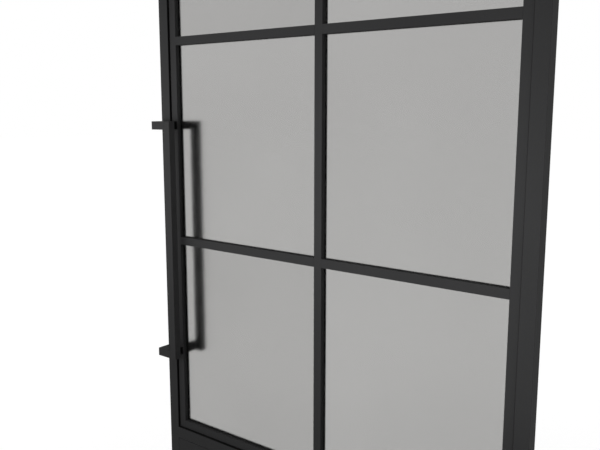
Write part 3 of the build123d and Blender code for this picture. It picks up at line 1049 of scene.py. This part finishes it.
@dataclass
class GlazedLeaf:
    """The swinging leaf: slim bars, six satin panes and their gaskets."""

    finishes: DoorFinishes
    rows: tuple[str, ...] = ("lower", "middle", "upper")
    columns: tuple[str, ...] = ("left", "right")
    panes_with_painted_shade: tuple[tuple[str, str], ...] = (("lower", "left"), ("upper", "left"))
    glass_bite: float = 5.5
    lip: tuple[Pair, ...] = (
        (-0.1, 0.02), (1.0, 0.02), (0.97, 0.4), (0.85, 0.9), (0.6, 1.4), (0.3, 1.7), (-0.1, 1.8),
    )
    lip_front: Pair = (2.6, 2.6)
    lip_back: Pair = (6.0, 3.6)
    lip_level: float = 0.7
    lip_foot: float = 2.0

    def build(self) -> None:
        """Dress the bars, the panes and what holds them."""
        stiles = ("leaf_stile_left", "leaf_stile_right", "leaf_rail_bottom", "leaf_rail_top", "glazing_bar_upright")
        cross_bars = [f"glazing_bar_{row}_{column}" for row in self.rows[:-1] for column in self.columns]
        Bench.dress(self.finishes.frame_paint, *stiles, *cross_bars)
        for row in self.rows:
            for column in self.columns:
                # the listed panes take the darker copy of the glass, which is painted shade
                shade_painted = (row, column) in self.panes_with_painted_shade
                glass = self.finishes.painted_shade_glass if shade_painted else self.finishes.satin_glass
                Bench.dress(glass, f"pane_{row}_{column}")
                Bench.dress(self.finishes.rubber, f"gasket_{row}_{column}")
        Bench.dress(self.finishes.black_plastic, "leaf_corner_keys", "leaf_stile_plugs")
        self.gasket_lips()

    def gasket_lips(self) -> None:
        """Run the gasket's wedge round each pane, on both faces of the glass."""
        mesh = bmesh.new()
        for row in self.rows:
            foot = self.lip_foot if row == self.rows[0] else self.lip_level
            for column in self.columns:
                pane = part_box(f"pane_{row}_{column}")
                for end, out, sides in ((0, -1, self.lip_front), (1, 1, self.lip_back)):
                    self.lip_ring(mesh, pane, (pane[end].y, out), (*sides, foot))
        Bench.piece("glazing_gasket_lips", mesh, self.finishes.rubber, "leaf")

    def lip_ring(
        self, mesh: BMesh, pane: Sequence[Vector], face: tuple[float, int], widths: Triple,
    ) -> None:
        """Run one wedge round a pane, on one face of the glass.

        Args:
            mesh: what it is added to.
            pane: the pane's lowest and highest corners.
            face: where the glass's face lies along Y, and which way it looks.
            widths: how much wider than its outline the wedge is at the left, the right and the foot.
        """
        (low, high), (y, out), (left, right, foot) = pane, face, widths
        bite, loops = self.glass_bite * MM, []
        for inward, height in self.lip:
            share = inward * MM
            x_ends = (low.x + bite + share * left, high.x - bite - share * right)
            z_ends = (low.z + bite + share * foot, high.z - bite - share * self.lip_level)
            corners = [(x_ends[i], z_ends[j]) for i, j in ((0, 0), (1, 0), (1, 1), (0, 1))]
            loops.append([mesh.verts.new((x, y + out * height * MM, z)) for x, z in corners])
        join_loops(mesh, loops + loops[:1])


@dataclass
class PullHandles:
    """Two square pull handles, back to back, clamped through the lock stile."""

    finishes: DoorFinishes
    bolt_from_block: float = 5.5
    bolt_sink: float = 6.0
    bolt_head_radius: float = 4.25
    bolt_head_height: float = 5.0
    bolt_head_edge: tuple[Pair, ...] = ((0.5, 0.0), (0.15, 0.15), (0.0, 0.5))
    bolt_radius: float = 2.5
    bolt_shank: float = 0.97
    bolt_tip: Pair = (0.8, 0.5)
    bolt_drill: float = 0.4
    bolt_socket: float = 4.0
    bolt_socket_edge: Pair = (0.3, 0.2)
    bolt_socket_depth: Pair = (2.6, 3.0)
    bolt_engage: float = 20.0
    bumper_from_end: float = 9.0
    bumper_half: float = 6.0
    bumper_steps: tuple[Pair, ...] = ((0.0, 1.0), (0.55, 1.0), (0.9, 0.95), (1.0, 0.86))
    block_gap: float = 1.0
    block_ease: float = 0.5
    bumper_gap: float = 0.2
    plug_rim: float = 0.6
    plug_out: float = 0.25
    plug_ease: float = 0.1

    def build(self) -> None:
        """Dress the grips and blocks, and build the plugs, bumpers and bolts."""
        blocks = [f"handle_{side}_block_{end}" for side in ("front", "rear") for end in ("lower", "upper")]
        Bench.dress(self.finishes.handle_paint, "handle_front_grip", "handle_rear_grip", *blocks)
        Bench.ease(self.block_ease, *[block for block in blocks if "front" in block])
        self.end_plugs()
        self.bumpers()
        self.bolts()

    def end_plugs(self) -> None:
        """Close the end of each front block, behind the grip, with a plug whose near-black colour is painted shade
        where the grip shades the block's end.
        """
        plugs = Drawn()
        back_of_grip, stile_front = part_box("handle_front_grip")[1].y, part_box("leaf_stile_left")[0].y
        rim = self.plug_rim * MM
        for end in ("lower", "upper"):
            low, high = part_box(f"handle_front_block_{end}")
            inner = (high.x - rim, back_of_grip + rim, low.z + rim)
            outer = (high.x + self.plug_out * MM, stile_front - rim, high.z - rim)
            plugs.block(inner, outer, self.plug_ease)
        Bench.piece("handle_block_painted_shade_plugs", plugs.mesh, self.finishes.painted_shade_pile, "leaf")

    def bumpers(self) -> None:
        """Stick a soft pad behind the end of each front block."""
        pad = Turning(40)
        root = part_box("post_left")[0].y - self.block_gap * MM
        height, half = self.block_gap - self.bumper_gap, self.bumper_half
        rings = [(height * rise, square_outline(half * share)) for rise, share in self.bumper_steps]
        for end in ("lower", "upper"):
            low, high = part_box(f"handle_front_block_{end}")
            middle = (low.x + self.bumper_from_end * MM, root, (low.z + high.z) / 2)
            pad.add(facing(middle, (0, 1, 0)), rings)
        Bench.piece("handle_soft_bumpers", pad.mesh, self.finishes.rubber, "leaf", ["handle_bumpers"])

    def bolts(self) -> None:
        """Sink a socket-head bolt into each rear block."""
        turned = Turning(48)
        r, top, shank = self.bolt_head_radius, self.bolt_head_height, self.bolt_radius * self.bolt_shank
        socket = hexagon_outline(self.bolt_socket)
        (edge, drop), (deep, deepest) = self.bolt_socket_edge, self.bolt_socket_depth
        head: list[Ring] = [(0.0, shank), (0.0, r)]
        head += [(top - down, r - inward) for down, inward in self.bolt_head_edge]
        mouth = hexagon_outline(self.bolt_socket + edge)
        head += [(top, mouth), (top - drop, socket), (top - deep, socket), (top - deepest, self.bolt_drill)]
        for end in ("lower", "upper"):
            low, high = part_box(f"handle_rear_block_{end}")
            seat = high.y - self.bolt_sink * MM
            reach = (seat - (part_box("leaf_stile_left")[0].y - self.bolt_engage * MM)) / MM
            place = facing((low.x + self.bolt_from_block * MM, seat, (low.z + high.z) / 2), (0, 1, 0))
            point = [(-reach, self.bolt_radius * self.bolt_tip[0]), (-reach + self.bolt_tip[1], shank)]
            turned.add(place, point + head)
        Bench.piece("handle_socket_bolts", turned.mesh, self.finishes.fastener_steel, "leaf", ["handle_bolts"])


@dataclass
class Hinges:
    """Two barrel hinges with wings, at the right of the leaf."""

    finishes: DoorFinishes
    wing_thickness: float = 3.0
    screw_from_end: float = 8.5
    screw_pitch: float = 22.0
    wing_screw: SmallScrew = field(default_factory=lambda: SmallScrew(3.8, 1.8, 2.0, 12.0, True))

    def build(self) -> None:
        """Dress the barrels, pins and washers, and drive the wing screws."""
        for level in ("lower", "upper"):
            Bench.dress(self.finishes.frame_paint, f"hinge_frame_knuckle_{level}", f"hinge_leaf_knuckle_{level}")
            Bench.dress(self.finishes.fastener_steel, f"hinge_pin_{level}")
            Bench.dress(self.finishes.brass, f"hinge_washer_{level}")
        self.screws("frame")
        self.screws("leaf")

    def screws(self, half: str) -> None:
        """Drive the countersunk screws of one half of both hinges.

        Args:
            half: "frame" or "leaf".
        """
        turned = Turning(24)
        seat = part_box("post_right")[0].y - self.wing_thickness * MM
        for level in ("lower", "upper"):
            low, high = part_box(f"hinge_{half}_knuckle_{level}")
            x = high.x - self.screw_from_end * MM if half == "frame" else low.x + self.screw_from_end * MM
            for shift in (-0.5, 0.5):
                z = (low.z + high.z) / 2 + shift * self.screw_pitch * MM
                turned.add(facing((x, seat, z), (0, -1, 0)), self.wing_screw.rings())
        steel = self.finishes.fastener_steel
        Bench.piece(f"hinge_{half}_csk_screws", turned.mesh, steel, half, [f"hinge_{half}_screws"])


@dataclass
class MagneticCatch:
    """The magnet under the head's stop and its keeper on the leaf."""

    finishes: DoorFinishes
    case_shy: float = 0.4
    case_ease: float = 0.8
    pole_inset: float = 4.0
    pole_thickness: float = 1.6
    pole_depth: float = 4.0
    pole_offset: float = 2.8
    pole_ease: float = 0.15
    keeper_ease: float = 0.25
    keeper_screw_proud: float = 0.05
    screw_inset: float = 7.0
    case_screw: SmallScrew = field(default_factory=lambda: SmallScrew(2.2, 0.9, 1.2, 4.0, False))
    keeper_screw: SmallScrew = field(default_factory=lambda: SmallScrew(2.0, 0.5, 1.0, 3.0, True))

    def build(self) -> None:
        """Build the case, its pole plates, the keeper and their screws."""
        low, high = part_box("catch_magnet")
        middle = (low.z + high.z) / 2
        case = Drawn()
        case.block((low.x, low.y + self.case_shy * MM, low.z), high, self.case_ease)
        Bench.piece("catch_case", case.mesh, self.finishes.magnet_case, "frame", ["catch_magnet"])
        poles = Drawn()
        inset, half = self.pole_inset * MM, self.pole_thickness / 2 * MM
        for side in (-1, 1):
            z = middle + side * self.pole_offset * MM
            far = (high.x - inset, low.y + self.pole_depth * MM, z + half)
            poles.block((low.x + inset, low.y, z - half), far, self.pole_ease)
        Bench.piece("catch_pole_plates", poles.mesh, self.finishes.pole_steel, "frame")
        self.pair_of_screws("catch_case_screws", "frame", self.case_screw, (low, high), high.y, middle)
        low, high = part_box("catch_keeper")
        plate = Drawn()
        plate.block(low, high, self.keeper_ease)
        Bench.piece("catch_keeper_plate", plate.mesh, self.finishes.pole_steel, "leaf", ["catch_keeper"])
        seat = high.y + self.keeper_screw_proud * MM
        self.pair_of_screws("catch_keeper_screws", "leaf", self.keeper_screw, (low, high), seat, middle)

    def pair_of_screws(
        self, name: str, body: str, screw: SmallScrew, box: tuple[Vector, Vector], seat: float, height: float,
    ) -> None:
        """Drive a screw near each end of the case or the keeper.

        Args:
            name: the piece's name.
            body: the body that it moves with.
            screw: the kind of screw.
            box: the lowest and highest corners of what it holds.
            seat: where the heads sit along Y, in metres.
            height: how high the screws stand, in metres.
        """
        heads = Turning(24)
        for x in (box[0].x + self.screw_inset * MM, box[1].x - self.screw_inset * MM):
            heads.add(facing((x, seat, height), (0, 1, 0)), screw.rings())
        Bench.piece(name, heads.mesh, self.finishes.fastener_steel, body)


@dataclass(frozen=True)
class SoftBox:
    """A soft box that lights the door and isn't seen itself."""

    name: str
    place: Triple
    aim: Triple
    width: float
    height: float
    grid_degrees: float
    roll_degrees: float
    power: float

    def hang(self) -> None:
        """Hang the soft box and turn it to what it lights."""
        data = bpy.data.lights.new(self.name, "AREA")
        data.shape, data.size, data.size_y, data.energy = "RECTANGLE", self.width, self.height, self.power
        data.spread = math.radians(self.grid_degrees)
        lamp = bpy.data.objects.new(self.name, data)
        lamp.location = self.place
        turn = (Vector(self.aim) - Vector(self.place)).to_track_quat("-Z", "Y").to_matrix()
        lamp.rotation_euler = (turn @ Matrix.Rotation(math.radians(self.roll_degrees), 3, "Z")).to_euler()
        lamp.visible_camera = lamp.visible_transmission = lamp.visible_glossy = False
        bpy.context.scene.collection.objects.link(lamp)


@dataclass
class Studio:
    """A plain pale floor and plain soft light."""

    floor_size: float = 60.0
    floor_colour: Colour = (0.8, 0.8, 0.8)
    floor_fleck: float = 1.03
    flecks_per_metre: float = 140.0
    floor_glow: float = 0.43
    world_level: float = 0.72
    lamps: tuple[SoftBox, ...] = (
        SoftBox("front_softbox", (-0.2, -1.2, 1.22), (-0.2, 0.0, 1.22), 2.6, 0.4, 66.0, -5.0, 4.8),
    )

    def build(self) -> None:
        """Lay the floor, hang the lamps and set the world."""
        self.floor()
        self.world()
        for lamp in self.lamps:
            lamp.hang()
        bpy.context.scene.view_settings.view_transform = "Standard"
        log.info("studio: %d lamps", len(self.lamps))

    @staticmethod
    def seen_directly(wiring: Wiring) -> Socket:
        """1 where the camera, a mirror or glass looks at a surface, and 0 where it only lights others.

        Args:
            wiring: the tree that asks.

        Returns:
            The answer's socket.
        """
        path = wiring.add("ShaderNodeLightPath").outputs
        shiny = wiring.sum_of("MAXIMUM", path["Is Glossy Ray"], path["Is Transmission Ray"])
        return wiring.sum_of("MAXIMUM", path["Is Camera Ray"], shiny)

    def floor(self) -> None:
        """Lay the floor, which stays pale to the camera and keeps the door's shadow."""
        mesh = bmesh.new()
        half = self.floor_size / 2
        corners = [mesh.verts.new((x * half, y * half, 0.0)) for x, y in ((-1, -1), (1, -1), (1, 1), (-1, 1))]
        mesh.faces.new(corners)
        data = bpy.data.meshes.new("studio_floor")
        mesh.to_mesh(data)
        mesh.free()
        floor = bpy.data.objects.new("studio_floor", data)
        bpy.context.scene.collection.objects.link(floor)
        paint = bpy.data.materials.new("pale_floor_paint")
        paint.use_nodes = True
        wiring = Wiring(paint.node_tree)
        wiring.tree.nodes.clear()
        speckle = wiring.spread(wiring.noise(self.flecks_per_metre, 3.0), 0.3, 0.7)
        colour = wiring.blend(speckle, self.floor_colour, tuple(c * self.floor_fleck for c in self.floor_colour))
        lit = wiring.add("ShaderNodeBsdfDiffuse", {"Color": colour}).outputs[0]
        strength = wiring.sum_of("MULTIPLY", self.seen_directly(wiring), self.floor_glow)
        glow = wiring.add("ShaderNodeEmission", {"Color": (1.0, 1.0, 1.0), "Strength": strength}).outputs[0]
        both = wiring.add("ShaderNodeAddShader", {0: lit, 1: glow}).outputs[0]
        wiring.add("ShaderNodeOutputMaterial", {"Surface": both})
        data.materials.append(paint)

    def world(self) -> None:
        """Light the door from all round, with a white background behind it."""
        world = bpy.data.worlds.new("soft_surround")
        world.use_nodes = True
        wiring = Wiring(world.node_tree)
        wiring.tree.nodes.clear()
        strength = wiring.spread(self.seen_directly(wiring), 0.0, 1.0, self.world_level)
        sky = wiring.add("ShaderNodeBackground", {"Color": (1.0, 1.0, 1.0), "Strength": strength}).outputs[0]
        wiring.add("ShaderNodeOutputWorld", {"Surface": sky})
        bpy.context.scene.world = world


@dataclass
class PhotoCamera:
    """The camera of the photograph: to the right of the door and a little above its middle, turned left and down."""

    place: Triple = (0.9271, -1.245, 1.368)
    turn_left: float = 38.3
    tilt_down: float = 9.17
    lens: float = 43.58
    sensor: float = 36.0
    clip: Pair = (0.05, 200.0)

    def build(self) -> None:
        """Set up the camera."""
        data = bpy.data.cameras.new("photo_camera")
        data.sensor_fit, data.sensor_width, data.lens = "HORIZONTAL", self.sensor, self.lens
        data.clip_start, data.clip_end = self.clip
        camera = bpy.data.objects.new("photo_camera", data)
        camera.location = self.place
        camera.rotation_euler = (math.radians(90 - self.tilt_down), 0.0, math.radians(self.turn_left))
        bpy.context.scene.collection.objects.link(camera)
        bpy.context.scene.camera = camera
        log.info("camera: %.2f mm lens", self.lens)


def main() -> None:
    """Build and dress the door, sub-assembly by sub-assembly, then light it."""
    logging.basicConfig(level=logging.INFO, format="%(name)s: %(message)s")
    PhotoCamera().build()
    finishes = DoorFinishes()
    for assembly in (FixedFrame, LowerPanel, GlazedLeaf, PullHandles, Hinges, MagneticCatch):
        log.info("building %s", assembly.__name__)
        assembly(finishes).build()
    Studio().build()


if __name__ == "__main__":
    main()
